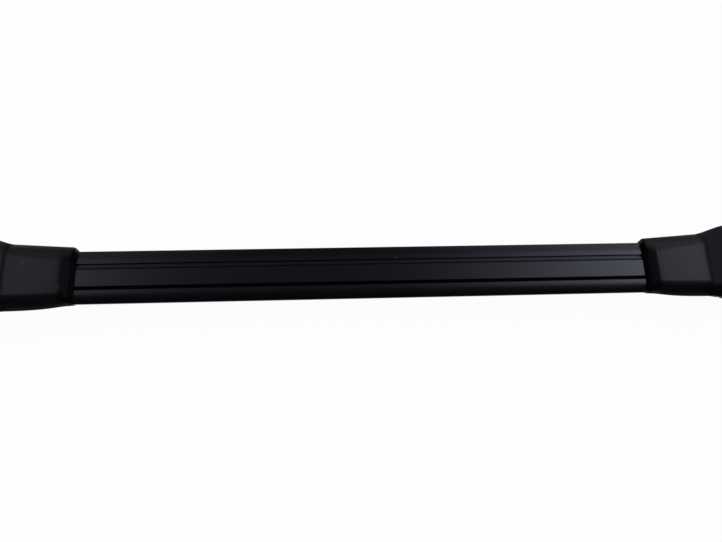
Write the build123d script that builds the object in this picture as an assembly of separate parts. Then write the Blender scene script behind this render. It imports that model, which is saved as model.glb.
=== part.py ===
from build123d import *
from collections import namedtuple
import os

# Roof rack crossbar for raised side rails, in millimetres.
# X runs along the bar, -Y is its front edge, Z is up and the ground is z = 0.
# Every foot piece is drawn for the right-hand end and mirrored for the left.

# Bar extrusion
BAR_SPAN = 850.0
BAR_WIDTH = 78.0
BAR_HEIGHT = 26.0
BAR_FLAT = 45.0
BAR_SHOULDER = 5.0
BAR_WALL = 2.4
BAR_OVERLAP = 62.0
BAR_GROUND = 20.0

# Two channels in the bar's top, with rubber strips
CHANNEL_PITCH = 32.0
CHANNEL_MOUTH = 7.4
CHANNEL_MOUTH_DEPTH = 2.4
CHANNEL_POCKET = 10.0
CHANNEL_POCKET_DEPTH = 2.0
CHANNEL_WALL = 2.0
STRIP_RIB = 4.4
STRIP_SINK_FRONT = 2.0
STRIP_SINK_REAR = 0.3
STRIP_FIT = 0.2

# Rail that the feet hold
RAIL_WIDTH = 30.0
RAIL_TOP = 42.0
RAIL_PAD = 3.0
SIDE_PAD = 2.5
PAD_HEIGHT = 33.0
PAD_FIT = 0.5

# Foot base casting
TONGUE_LENGTH = 55.0
TONGUE_FIT = 0.3
BEAM_LENGTH = 32.0
BEAM_HALF = 30.0
BEAM_FLOOR = 5.0
BEAM_RIM = 6.0
LEG_THICK = 10.0
LEG_HALF = 36.0
LEG_LIP = 5.5
LEG_LIP_HEIGHT = 6.0
SADDLE_INSET = 1.0
SADDLE_DEPTH = 17.0
CASTING_RADIUS = 3.0

# Clamp jaw
JAW_THICK = 7.0
JAW_HALF = 36.0
JAW_LIP = 8.0
JAW_LIP_HEIGHT = 5.0
JAW_GROUND = 2.0
JAW_POCKET = 3.0
JAW_RIB = 6.0
JAW_OUT = 10.0
JAW_IN = 2.0
GUIDE_PITCH = 44.0
GUIDE_WIDTH = 12.0
GUIDE_HEIGHT = 8.0
GUIDE_LENGTH = 26.0
GUIDE_FIT = 0.3

# Clamp bolt, a metric socket screw, and what is on it
BOLT_RADIUS = 3.0
BOLT_LENGTH = 39.0
BOLT_RISE = 8.0
BOLT_HEAD_RADIUS = 5.0
BOLT_HEAD_HEIGHT = 5.0
BOLT_SOCKET = 5.0
BOLT_SOCKET_DEPTH = 3.0
BOLT_CLEARANCE = 0.3
THREAD_FIT = 0.05
WASHER_RADIUS = 6.5
WASHER_THICK = 1.2
CLIP_RADIUS = 5.0
CLIP_THICK = 1.0
CLIP_GROOVE = 0.4
CLIP_FIT = 0.2
CLIP_GAP = 3.5
NUT_FLATS = 10.0
NUT_THICK = 5.0
NUT_FIT = 0.15

# Foot cover shell
COVER_WALL = 2.6
COVER_FIT = 0.3
COLLAR_LENGTH = 22.0
COLLAR_RIM = 3.0
COLLAR_STEP = 2.0
COLLAR_SIDE = 2.8
PANEL_RISE = 7.0
PANEL_LENGTH = 60.0
PANEL_HALF_IN = 24.0
PANEL_HALF_OUT = 28.5
PANEL_HALF_END = 40.0
FLANK_IN = 6.3
FLANK_OUT = 10.0
FLANK_END = 20.0
FLANK_LIFT = 20.0
KEEL_HALF_IN = 27.0
KEEL_HALF_OUT = 34.0
KEEL_HALF_END = 52.0
KEEL_DROP = 4.0
KEEL_DROP_OUT = 7.0
COVER_HEADROOM = 5.0
NOTCH_ABOVE_RAIL = 2.0
COVER_END_GAP = 1.0
COLLAR_BOW = 0.2
PANEL_BOW = 0.1

# Hinged end flap and its pin
FLAP_DEPTH = 20.0
FLAP_WALL = 2.5
FLAP_GAP = 0.6
FLAP_GROUND = 4.0
FLAP_FOOT_HALF = 45.0
FLAP_DOME = 9.0
BARREL_RADIUS = 3.2
BARREL_HALF = 24.0
LUG_WIDTH = 8.0
LUG_FIT = 0.4
PIN_RADIUS = 1.5
PIN_FIT = 0.05

# Screws for the bar and for the cover
BAR_SCREW_RADIUS = 2.5
BAR_SCREW_HEAD = 4.7
BAR_SCREW_HEAD_HEIGHT = 3.0
BAR_SCREW_GRIP = 11.0
BAR_SCREW_INSET = 13.0
BAR_SCREW_PITCH = 25.0
COVER_SCREW_RADIUS = 2.0
COVER_SCREW_HEAD = 3.8
COVER_SCREW_HEAD_HEIGHT = 2.2
COVER_SCREW_BITE = 9.0
COVER_SCREW_PITCH = 40.0
COVER_BOSS_RADIUS = 4.5
ACCESS_FIT = 1.0
SCREW_FIT = 0.05

# Heights and stations worked out from the sizes above
BAR_TOP = BAR_GROUND + BAR_HEIGHT
NOSE_Z = BAR_TOP - BAR_SHOULDER
SADDLE_HALF = BAR_WIDTH / 2 - SADDLE_INSET
CHAMBER = CHANNEL_PITCH - CHANNEL_POCKET - 2 * CHANNEL_WALL
LIP_X = BAR_SPAN / 2
BAR_END = LIP_X + BAR_OVERLAP
TONGUE_X = BAR_END - TONGUE_LENGTH
LEG_IN_X = BAR_END + BEAM_LENGTH
LEG_OUT_X = LEG_IN_X + LEG_THICK
RAIL_IN_X = LEG_OUT_X + SIDE_PAD
RAIL_OUT_X = RAIL_IN_X + RAIL_WIDTH
JAW_IN_X = RAIL_OUT_X + SIDE_PAD
JAW_OUT_X = JAW_IN_X + JAW_THICK
SADDLE_X = JAW_IN_X - JAW_IN - PAD_FIT
SADDLE_Z = RAIL_TOP + RAIL_PAD
SADDLE_TOP = SADDLE_Z + SADDLE_DEPTH
BOLT_Z = SADDLE_Z + BOLT_RISE
HEAD_X = JAW_OUT_X + WASHER_THICK
PANEL_X = LIP_X + COLLAR_LENGTH
PANEL_END_X = PANEL_X + PANEL_LENGTH
COVER_X = JAW_OUT_X + COVER_END_GAP
PANEL_Z = BAR_TOP + PANEL_RISE
CREST_Z = SADDLE_TOP + COVER_HEADROOM + COVER_WALL
KEEL_Z = BAR_GROUND - KEEL_DROP
KEEL_OUT_Z = BAR_GROUND - KEEL_DROP_OUT
NOTCH_Z = RAIL_TOP + NOTCH_ABOVE_RAIL
HINGE_X = COVER_X + FLAP_GAP + BARREL_RADIUS
HINGE_Z = CREST_Z - BARREL_RADIUS
FLAP_X = COVER_X + FLAP_DEPTH
BAR_SCREWS_X = [TONGUE_X + BAR_SCREW_INSET, TONGUE_X + BAR_SCREW_INSET + BAR_SCREW_PITCH]
COVER_SCREW_X = BAR_END + COVER_BOSS_RADIUS + TONGUE_FIT

# One outline across the foot cover: half-widths and heights of panel, flank and keel
Section = namedtuple("Section", "panel panel_z flank flank_z keel keel_z bow")


def blend(first, last, share):
    return first + (last - first) * share


def block(x0, x1, half, z0, z1):
    """Box between two stations, centred across the bar."""
    place = Pos((x0 + x1) / 2, 0, (z0 + z1) / 2)
    return place * Box(x1 - x0, 2 * half, z1 - z0)


def rod_x(radius, x0, x1, y, z):
    """Round bar along X."""
    return Pos((x0 + x1) / 2, y, z) * Rot(0, 90, 0) * Cylinder(radius, x1 - x0)


def rod_y(radius, y0, y1, x, z):
    """Round bar along Y."""
    return Pos(x, (y0 + y1) / 2, z) * Rot(90, 0, 0) * Cylinder(radius, y1 - y0)


def rod_z(radius, z0, z1, x, y):
    """Round bar along Z."""
    return Pos(x, y, (z0 + z1) / 2) * Cylinder(radius, z1 - z0)


def side_profile(points, half):
    """Outline in X and Z, carried to both sides of the bar's centre plane."""
    face = make_face(Polyline(*points, close=True))
    return extrude(Plane.XZ * face, half, both=True)


def bar_outline(grow=0.0):
    """Flat top and underside joined by half-elliptic front and rear edges."""
    flat = BAR_FLAT / 2
    reach = BAR_WIDTH / 2 - flat + grow
    up = BAR_SHOULDER + grow
    down = BAR_HEIGHT - BAR_SHOULDER + grow
    edges = [Line((-flat, z), (flat, z)) for z in (NOSE_Z + up, NOSE_Z - down)]
    for side, start in ((1, 0), (-1, 90)):
        centre = (side * flat, NOSE_Z)
        edges.append(EllipticalCenterArc(centre, reach, up, start))
        edges.append(EllipticalCenterArc(centre, reach, down, 270 - start))
    return make_face(edges)


def channel_centres():
    return [-CHANNEL_PITCH / 2, CHANNEL_PITCH / 2]


def bar_extrusion():
    outline = bar_outline()
    depth = CHANNEL_MOUTH_DEPTH + CHANNEL_POCKET_DEPTH
    seat_width = CHANNEL_POCKET + 2 * CHANNEL_WALL
    hollow = bar_outline(-BAR_WALL)
    slots = Sketch()
    for y in channel_centres():
        seat = Pos(y, BAR_TOP) * Rectangle(seat_width, 2 * (depth + CHANNEL_WALL))
        inner = y - (seat_width - CHANNEL_WALL) / 2 * (1 if y > 0 else -1)
        web = Pos(inner, NOSE_Z) * Rectangle(CHANNEL_WALL, 2 * BAR_HEIGHT)
        hollow = hollow - seat - web
        pocket_z = BAR_TOP - CHANNEL_MOUTH_DEPTH - CHANNEL_POCKET_DEPTH / 2
        slots += Pos(y, BAR_TOP) * Rectangle(CHANNEL_MOUTH, 2 * CHANNEL_MOUTH_DEPTH)
        slots += Pos(y, pocket_z) * Rectangle(CHANNEL_POCKET, CHANNEL_POCKET_DEPTH)
    bar = extrude(Plane.YZ * (outline - hollow - slots), BAR_END, both=True)
    for x in BAR_SCREWS_X:
        for side in (1, -1):
            bar -= rod_z(BAR_SCREW_RADIUS + BOLT_CLEARANCE, BAR_GROUND - 1, NOSE_Z, side * x, 0)
    return bar


def slot_strip(y, sink):
    """Rubber strip: a flange in the channel's undercut and a rib up its mouth."""
    floor_z = BAR_TOP - CHANNEL_MOUTH_DEPTH - CHANNEL_POCKET_DEPTH
    flange_z = floor_z + CHANNEL_POCKET_DEPTH - STRIP_FIT
    flange_width = CHANNEL_POCKET - 2 * STRIP_FIT
    flange = Pos(y, (floor_z + flange_z) / 2) * Rectangle(flange_width, flange_z - floor_z)
    top_z = BAR_TOP - sink
    rib = Pos(y, (floor_z + top_z) / 2) * Rectangle(STRIP_RIB, top_z - floor_z)
    return extrude(Plane.YZ * (flange + rib), BAR_END, both=True)


def rise(x):
    """Smooth step from the panel's end up to the crest over the rail."""
    share = (x - PANEL_END_X) / (RAIL_OUT_X - PANEL_END_X)
    share = min(max(share, 0.0), 1.0)
    return share * share * (3 - 2 * share)


def cover_section(x):
    """Outer outline of the foot cover at a station along the bar."""
    half = BAR_WIDTH / 2
    if x < PANEL_X:
        share = (x - LIP_X) / COLLAR_LENGTH
        swell = 1 - (1 - share) ** 2
        return Section(
            PANEL_HALF_IN,
            blend(BAR_TOP + COLLAR_STEP, PANEL_Z, share),
            half + blend(COLLAR_SIDE, FLANK_IN, swell),
            NOSE_Z,
            blend(BAR_FLAT / 2, KEEL_HALF_IN, swell),
            blend(BAR_GROUND - COLLAR_STEP, KEEL_Z, share),
            blend(COLLAR_BOW, PANEL_BOW, share),
        )
    share = min((x - PANEL_X) / PANEL_LENGTH, 1.0)
    lift = rise(x)
    return Section(
        blend(blend(PANEL_HALF_IN, PANEL_HALF_OUT, share), PANEL_HALF_END, lift),
        blend(PANEL_Z, CREST_Z, lift),
        half + blend(blend(FLANK_IN, FLANK_OUT, share), FLANK_END, lift),
        NOSE_Z + FLANK_LIFT * lift,
        blend(blend(KEEL_HALF_IN, KEEL_HALF_OUT, share), KEEL_HALF_END, lift),
        blend(blend(KEEL_Z, KEEL_OUT_Z, share), NOTCH_Z, lift),
        PANEL_BOW,
    )


def inset(section, wall):
    """The same outline one wall further in."""
    return Section(
        section.panel - wall / 2,
        section.panel_z - wall,
        section.flank - wall,
        section.flank_z,
        section.keel - wall / 2,
        section.keel_z + wall,
        section.bow,
    )


def section_face(x, section):
    """Flat panel and keel joined by bowed flanks."""
    corners = [
        (section.panel, section.panel_z),
        (section.flank, section.flank_z),
        (section.keel, section.keel_z),
    ]
    loop = corners + [(-y, z) for y, z in reversed(corners)]
    edges = []
    for first, last in zip(loop, loop[1:] + loop[:1]):
        if first[1] == last[1] and first[0] == -last[0]:
            edges.append(Line(first, last))
            continue
        chord = ((first[0] - last[0]) ** 2 + (first[1] - last[1]) ** 2) ** 0.5
        edges.append(SagittaArc(first, last, section.bow * chord))
    return Plane.YZ.offset(x) * make_face(edges)


def cover_form(wall, start_x, end_x):
    """Collar and body of the cover, drawn one wall inside its outer face."""
    collar = [blend(start_x, PANEL_X, share) for share in (0.0, 0.3, 1.0)]
    body = [blend(PANEL_X, PANEL_END_X, share) for share in (0.0, 0.5, 1.0)]
    body += [blend(PANEL_END_X, RAIL_OUT_X, share) for share in (0.33, 0.67, 1.0)]
    body.append(end_x)
    collar_faces = [section_face(x, inset(cover_section(x), wall)) for x in collar]
    body_faces = [section_face(x, inset(cover_section(x), wall)) for x in body]
    return loft(collar_faces, ruled=True), loft(body_faces)


def foot_cover():
    """Moulded shell: closed sleeve round the bar, open over the rail and at its outer end."""
    past = COVER_X + FLAP_DEPTH
    collar, body = cover_form(0, LIP_X, COVER_X)
    cover = collar + body
    for cavity in cover_form(COVER_WALL, LIP_X + COLLAR_RIM, past):
        cover -= cavity
    cover -= extrude(Plane.YZ * bar_outline(COVER_FIT), BAR_END + COVER_FIT)
    open_top = NOTCH_Z + COVER_WALL + PAD_FIT
    cover -= block(LEG_IN_X - PAD_FIT, past, SADDLE_HALF + PAD_FIT, -1, open_top)
    cover -= block(LEG_OUT_X, past, BAR_WIDTH, -1, NOTCH_Z)
    for y in (-COVER_SCREW_PITCH / 2, COVER_SCREW_PITCH / 2):
        boss = rod_z(COVER_BOSS_RADIUS, KEEL_OUT_Z + COVER_WALL / 2, BAR_GROUND, COVER_SCREW_X, y)
        cover += boss
        cover -= rod_z(COVER_SCREW_RADIUS + BOLT_CLEARANCE, -1, BAR_TOP, COVER_SCREW_X, y)
        cover -= rod_z(COVER_SCREW_HEAD + BOLT_CLEARANCE, -1, KEEL_Z, COVER_SCREW_X, y)
    for x in BAR_SCREWS_X:
        cover -= rod_z(BAR_SCREW_HEAD + ACCESS_FIT, -1, BAR_GROUND, x, 0)
    for side in (1, -1):
        y = side * (BARREL_HALF + LUG_FIT + LUG_WIDTH / 2)
        low_z = HINGE_Z - BARREL_RADIUS
        root = block(COVER_X - LUG_WIDTH, COVER_X, LUG_WIDTH / 2, low_z, CREST_Z - COVER_WALL / 2)
        arm = block(COVER_X - LUG_WIDTH, HINGE_X, LUG_WIDTH / 2, low_z, HINGE_Z)
        cover += Pos(0, y, 0) * (root + arm)
        cover += rod_y(BARREL_RADIUS, y - LUG_WIDTH / 2, y + LUG_WIDTH / 2, HINGE_X, HINGE_Z)
    cover -= rod_y(PIN_RADIUS, -BAR_WIDTH, BAR_WIDTH, HINGE_X, HINGE_Z)
    return cover


def flap_section(x):
    """Outline of the end flap: the cover's end carried down to the ground and domed off."""
    crest = cover_section(COVER_X)
    share = (x - COVER_X) / FLAP_DEPTH
    draw_in = FLAP_DOME * share**3
    return Section(
        crest.panel - draw_in,
        crest.panel_z - draw_in,
        crest.flank - draw_in,
        crest.flank_z - draw_in,
        FLAP_FOOT_HALF - draw_in / 2,
        FLAP_GROUND,
        crest.bow,
    )


def flap_form(wall, start_x, end_x):
    stations = [blend(start_x, end_x, share) for share in (0.0, 0.5, 0.8, 1.0)]
    return loft([section_face(x, inset(flap_section(x), wall)) for x in stations])


def end_flap():
    """Domed end cap, open towards the jaw and below, hung from a barrel along its top edge."""
    start = COVER_X + FLAP_GAP
    flap = flap_form(0, start, FLAP_X)
    flap -= flap_form(FLAP_WALL, start - 1, FLAP_X - FLAP_WALL)
    flap -= block(start - 1, FLAP_X - FLAP_WALL, JAW_HALF + FLAP_GAP, 0, FLAP_GROUND + 2 * FLAP_WALL)
    flap -= block(start - 1, HINGE_X, BAR_WIDTH, HINGE_Z, CREST_Z + 1)
    for side in (1, -1):
        low, high = sorted((side * BARREL_HALF, side * (BARREL_HALF + LUG_WIDTH + 2 * LUG_FIT)))
        flap -= rod_y(BARREL_RADIUS + LUG_FIT, low, high, HINGE_X, HINGE_Z)
    flap += rod_y(BARREL_RADIUS, -BARREL_HALF, BARREL_HALF, HINGE_X, HINGE_Z)
    flap -= rod_y(PIN_RADIUS + PIN_FIT, -BARREL_HALF - 1, BARREL_HALF + 1, HINGE_X, HINGE_Z)
    return flap


def flap_pin():
    reach = BARREL_HALF + LUG_FIT + LUG_WIDTH
    return rod_y(PIN_RADIUS, -reach, reach, HINGE_X, HINGE_Z)


def guide_centres():
    return [-GUIDE_PITCH / 2, GUIDE_PITCH / 2]


def foot_base():
    """Casting: tongue in the bar, troughed beam, inner leg with its lip, and saddle over the rail."""
    root_x = BAR_END + TONGUE_FIT
    under_z = BAR_GROUND
    leg = [
        (LEG_IN_X, 0),
        (LEG_OUT_X + LEG_LIP - CASTING_RADIUS / 2, 0),
        (LEG_OUT_X + LEG_LIP, CASTING_RADIUS / 2),
        (LEG_OUT_X + LEG_LIP, LEG_LIP_HEIGHT / 2),
        (LEG_OUT_X, LEG_LIP_HEIGHT),
        (LEG_OUT_X, SADDLE_Z),
        (LEG_IN_X, SADDLE_Z),
    ]
    beam = [
        (root_x, under_z),
        (LEG_IN_X, under_z),
        (LEG_OUT_X, SADDLE_Z),
        (LEG_OUT_X, BAR_TOP),
        (root_x, BAR_TOP),
    ]
    saddle = [
        (LEG_IN_X, SADDLE_Z - RAIL_PAD),
        (LEG_OUT_X, SADDLE_Z - RAIL_PAD),
        (LEG_OUT_X, SADDLE_Z),
        (SADDLE_X, SADDLE_Z),
        (SADDLE_X, SADDLE_TOP),
        (blend(LEG_OUT_X, SADDLE_X, 0.5), SADDLE_TOP),
        (LEG_IN_X, BAR_TOP),
    ]
    base = side_profile(leg, LEG_HALF)
    base += side_profile(beam, BEAM_HALF)
    base += side_profile(saddle, SADDLE_HALF)
    tongue_half = CHAMBER / 2 - TONGUE_FIT
    tongue_low = BAR_GROUND + BAR_WALL + TONGUE_FIT
    tongue_high = BAR_TOP - BAR_WALL - TONGUE_FIT
    base += block(TONGUE_X, root_x + 1, tongue_half, tongue_low, tongue_high)
    for side in (1, -1):
        bay = block(
            COVER_SCREW_X + 2 * COVER_BOSS_RADIUS,
            LEG_IN_X,
            (BEAM_HALF - BEAM_RIM - BEAM_FLOOR / 2) / 2,
            under_z + BEAM_FLOOR,
            BAR_TOP + 1,
        )
        base -= Pos(0, side * (BEAM_HALF - BEAM_RIM + BEAM_FLOOR / 2) / 2, 0) * bay
        window = block(
            LEG_IN_X - 1,
            LEG_IN_X + LEG_THICK / 2,
            (LEG_HALF - BEAM_RIM - BEAM_FLOOR / 2) / 2,
            LEG_LIP_HEIGHT,
            under_z - BEAM_FLOOR,
        )
        base -= Pos(0, side * (LEG_HALF - BEAM_RIM + BEAM_FLOOR / 2) / 2, 0) * window
    for y in guide_centres():
        pocket = block(
            JAW_IN_X - GUIDE_LENGTH - JAW_IN - GUIDE_FIT,
            SADDLE_X + 1,
            GUIDE_WIDTH / 2 + GUIDE_FIT,
            BOLT_Z - GUIDE_HEIGHT / 2 - GUIDE_FIT,
            BOLT_Z + GUIDE_HEIGHT / 2 + GUIDE_FIT,
        )
        base -= Pos(0, y, 0) * pocket
    tip_x = HEAD_X - BOLT_LENGTH - JAW_IN - 1
    base -= rod_x(BOLT_RADIUS + BOLT_CLEARANCE, tip_x, SADDLE_X + 1, 0, BOLT_Z)
    clip_room = JAW_IN_X - CLIP_FIT - CLIP_THICK - JAW_IN - PAD_FIT
    base -= rod_x(CLIP_RADIUS + BOLT_CLEARANCE, clip_room, SADDLE_X + 1, 0, BOLT_Z)
    low_x, high_x = nut_span()
    nut_low = BOLT_Z - NUT_FLATS / 3**0.5 - NUT_FIT
    base -= block(low_x - NUT_FIT, high_x + NUT_FIT, NUT_FLATS / 2 + NUT_FIT, nut_low, SADDLE_TOP + 1)
    for x in BAR_SCREWS_X:
        base -= rod_z(BAR_SCREW_RADIUS + SCREW_FIT, 0, BAR_GROUND + BAR_SCREW_GRIP + SCREW_FIT, x, 0)
    for y in (-COVER_SCREW_PITCH / 2, COVER_SCREW_PITCH / 2):
        tip = under_z + COVER_SCREW_BITE + SCREW_FIT
        base -= rod_z(COVER_SCREW_RADIUS + SCREW_FIT, 0, tip, COVER_SCREW_X, y)
    return base


def rail_pad():
    """Rubber lining of the saddle's underside and of the inner leg."""
    low = RAIL_TOP - PAD_HEIGHT
    outer = SADDLE_X - SIDE_PAD
    points = [
        (LEG_OUT_X, low),
        (RAIL_IN_X, low),
        (RAIL_IN_X, RAIL_TOP),
        (outer, RAIL_TOP),
        (outer, SADDLE_Z),
        (LEG_OUT_X, SADDLE_Z),
    ]
    return side_profile(points, LEG_HALF)


def clamp_jaw():
    """Outer jaw: ribbed wall, lip hooked under the rail and two tongues guided in the saddle."""
    top = BOLT_Z + GUIDE_HEIGHT / 2 + GUIDE_FIT
    tip = JAW_IN_X - JAW_LIP
    points = [
        (JAW_IN_X, top),
        (JAW_OUT_X, top),
        (JAW_OUT_X, JAW_GROUND),
        (tip, JAW_GROUND),
        (tip, JAW_GROUND + JAW_LIP_HEIGHT / 2),
        (JAW_IN_X, JAW_GROUND + JAW_LIP_HEIGHT),
    ]
    jaw = side_profile(points, JAW_HALF)
    bay_half = (JAW_HALF - 1.5 * JAW_RIB) / 2
    low = JAW_GROUND + JAW_LIP_HEIGHT + JAW_RIB / 2
    high = BOLT_Z - WASHER_RADIUS - JAW_RIB / 2
    for side in (1, -1):
        bay = block(JAW_OUT_X - JAW_POCKET, JAW_OUT_X + 1, bay_half, low, high)
        jaw -= Pos(0, side * (bay_half + JAW_RIB / 2), 0) * bay
    for y in guide_centres():
        guide = block(
            JAW_IN_X - GUIDE_LENGTH,
            JAW_IN_X + 1,
            GUIDE_WIDTH / 2,
            BOLT_Z - GUIDE_HEIGHT / 2,
            BOLT_Z + GUIDE_HEIGHT / 2,
        )
        jaw += Pos(0, y, 0) * guide
    return jaw - rod_x(BOLT_RADIUS + THREAD_FIT, JAW_IN_X - 1, JAW_OUT_X + 1, 0, BOLT_Z)


def jaw_pad():
    low = RAIL_TOP - PAD_HEIGHT
    return block(RAIL_OUT_X, JAW_IN_X, LEG_HALF, low, RAIL_TOP - PAD_FIT)


def clamp_bolt():
    """Socket screw with a groove for its clip behind the jaw."""
    tip = HEAD_X - BOLT_LENGTH
    bolt = rod_x(BOLT_HEAD_RADIUS, HEAD_X, HEAD_X + BOLT_HEAD_HEIGHT, 0, BOLT_Z)
    bolt += rod_x(BOLT_RADIUS, tip, HEAD_X, 0, BOLT_Z)
    rim = bolt.edges().filter_by(GeomType.CIRCLE).sort_by(Axis.X)
    bolt = chamfer([rim[0]], BOLT_RADIUS / 5)
    socket = RegularPolygon(BOLT_SOCKET / 2, 6, major_radius=False)
    face_x = HEAD_X + BOLT_HEAD_HEIGHT
    bolt -= extrude(Plane.YZ.offset(face_x) * Pos(0, BOLT_Z) * socket, -BOLT_SOCKET_DEPTH)
    low, high = clip_span()
    ring = rod_x(BOLT_RADIUS + 1, low, high, 0, BOLT_Z)
    ring -= rod_x(BOLT_RADIUS - CLIP_GROOVE, low - 1, high + 1, 0, BOLT_Z)
    return bolt - ring


def clip_span():
    """Where the clip sits on the bolt, just behind the jaw."""
    high = JAW_IN_X - CLIP_FIT
    return high - CLIP_THICK, high


def bolt_clip():
    low, high = clip_span()
    clip = rod_x(CLIP_RADIUS, low, high, 0, BOLT_Z)
    clip -= rod_x(BOLT_RADIUS - CLIP_GROOVE, low - 1, high + 1, 0, BOLT_Z)
    return clip - block(low - 1, high + 1, CLIP_GAP / 2, BOLT_Z - 2 * CLIP_RADIUS, BOLT_Z)


def bolt_washer():
    ring = rod_x(WASHER_RADIUS, JAW_OUT_X, HEAD_X, 0, BOLT_Z)
    return ring - rod_x(BOLT_RADIUS + THREAD_FIT, JAW_OUT_X - 1, HEAD_X + 1, 0, BOLT_Z)


def nut_span():
    """The nut stays on the thread when the jaw is all the way out."""
    low = HEAD_X - BOLT_LENGTH + JAW_OUT + 1
    return low, low + NUT_THICK


def clamp_nut():
    low, high = nut_span()
    hexagon = Pos(0, BOLT_Z) * RegularPolygon(NUT_FLATS / 2, 6, major_radius=False, rotation=30)
    nut = extrude(Plane.YZ.offset(low) * hexagon, high - low)
    return nut - rod_x(BOLT_RADIUS + THREAD_FIT, low - 1, high + 1, 0, BOLT_Z)


def screw_up(radius, head_radius, head_height, seat_z, tip_z, x, y):
    """Screw driven upwards: bevelled head under its seat, shank up to the tip."""
    head = rod_z(head_radius, seat_z - head_height, seat_z, x, y)
    crown = head.edges().filter_by(GeomType.CIRCLE).sort_by(Axis.Z)[0]
    head = chamfer([crown], head_height / 2)
    return head + rod_z(radius, seat_z - head_height / 2, tip_z, x, y)


def bar_screws():
    tip = BAR_GROUND + BAR_SCREW_GRIP
    sizes = (BAR_SCREW_RADIUS, BAR_SCREW_HEAD, BAR_SCREW_HEAD_HEIGHT)
    return [screw_up(*sizes, BAR_GROUND, tip, x, 0) for x in BAR_SCREWS_X]


def cover_screws():
    tip = BAR_GROUND + COVER_SCREW_BITE
    sizes = (COVER_SCREW_RADIUS, COVER_SCREW_HEAD, COVER_SCREW_HEAD_HEIGHT)
    half = COVER_SCREW_PITCH / 2
    return [screw_up(*sizes, KEEL_Z, tip, COVER_SCREW_X, y) for y in (-half, half)]


def write(name, pieces):
    """One file per named piece; like fasteners share one."""
    solids = [solid for piece in pieces for solid in piece.solids()]
    shape = solids[0] if len(solids) == 1 else Compound(solids)
    export_step(shape, f"parts/{name}.step")


os.makedirs("parts", exist_ok=True)
write("bar_extrusion", [bar_extrusion()])
front_y, rear_y = channel_centres()
write("slot_strip_front", [slot_strip(front_y, STRIP_SINK_FRONT)])
write("slot_strip_rear", [slot_strip(rear_y, STRIP_SINK_REAR)])
FOOT_PIECES = {
    "foot_cover": [foot_cover()],
    "foot_base": [foot_base()],
    "rail_pad": [rail_pad()],
    "clamp_jaw": [clamp_jaw()],
    "jaw_pad": [jaw_pad()],
    "clamp_bolt": [clamp_bolt()],
    "bolt_washer": [bolt_washer()],
    "bolt_clip": [bolt_clip()],
    "clamp_nut": [clamp_nut()],
    "end_flap": [end_flap()],
    "flap_pin": [flap_pin()],
    "bar_screws": bar_screws(),
    "cover_screws": cover_screws(),
}
for piece_name, pieces in FOOT_PIECES.items():
    write(f"{piece_name}_right", pieces)
    write(f"{piece_name}_left", [mirror(piece, about=Plane.YZ) for piece in pieces])
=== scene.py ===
import math

import bmesh
import bpy
import numpy as np
from bpy.props import FloatProperty, FloatVectorProperty, PointerProperty
from mathutils import Matrix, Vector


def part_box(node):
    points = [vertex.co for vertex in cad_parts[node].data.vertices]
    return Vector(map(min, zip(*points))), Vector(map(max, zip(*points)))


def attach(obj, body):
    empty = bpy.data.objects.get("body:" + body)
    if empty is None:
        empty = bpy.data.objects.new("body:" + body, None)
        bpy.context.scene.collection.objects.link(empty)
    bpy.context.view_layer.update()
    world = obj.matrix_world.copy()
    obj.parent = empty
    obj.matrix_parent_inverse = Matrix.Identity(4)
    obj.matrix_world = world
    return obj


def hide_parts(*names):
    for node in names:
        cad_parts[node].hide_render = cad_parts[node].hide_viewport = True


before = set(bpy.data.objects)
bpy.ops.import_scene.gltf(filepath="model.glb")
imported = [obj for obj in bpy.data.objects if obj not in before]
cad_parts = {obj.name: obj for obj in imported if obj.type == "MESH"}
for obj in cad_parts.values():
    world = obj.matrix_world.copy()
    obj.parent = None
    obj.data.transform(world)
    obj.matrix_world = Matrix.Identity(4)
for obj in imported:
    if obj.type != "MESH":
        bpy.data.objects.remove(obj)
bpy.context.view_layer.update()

bl_info = {
    "name": "Roof rack crossbar",
    "version": (1, 0, 0),
    "blender": (4, 5, 0),
    "location": "View3D > Sidebar > Crossbar",
    "description": "Dresses the crossbar's frame with its bar, strips, feet, flaps and finishes",
    "category": "Object",
}

BAR_LOW, BAR_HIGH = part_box("bar_extrusion")
COVER_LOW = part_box("foot_cover_right")[0]
FLAP_LOW, FLAP_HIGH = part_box("end_flap_right")
PIN_LOW, PIN_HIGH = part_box("flap_pin_right")
JAW_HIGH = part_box("clamp_jaw_right")[1]
SIDES = (("right", 1), ("left", -1))

# Lengths are in metres; a fade is where a mask starts and where it is full
TINY = 1e-7  # points nearer than this are the same point
SHARP_ANGLE = math.radians(32)  # edges that turn more than this stay creased
SEGMENTS, STATIONS = 48, 60  # points round a turned form, and stations along the bar
CLEAR = 0.001  # how far a cut reaches past what it cuts
WIDE = 0.08  # past the widest and highest part of a foot

# Channels and strips
MOUTH_FLATS = (0.002, 0.001)  # flats beside a channel's mouth, inner and outer
FLANGE_PLAY = 0.0002  # gap over a strip's flange
RIB_SHOULDER, RIB_CROWN = 0.0003, 0.0001  # below and above the CAD's top
FOOT_CUT, BRIM_CUT, SHOULDER_CUT, CROWN_CUT = 0.0002, 0.0003, 0.0006, 0.0012  # roundings

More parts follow.
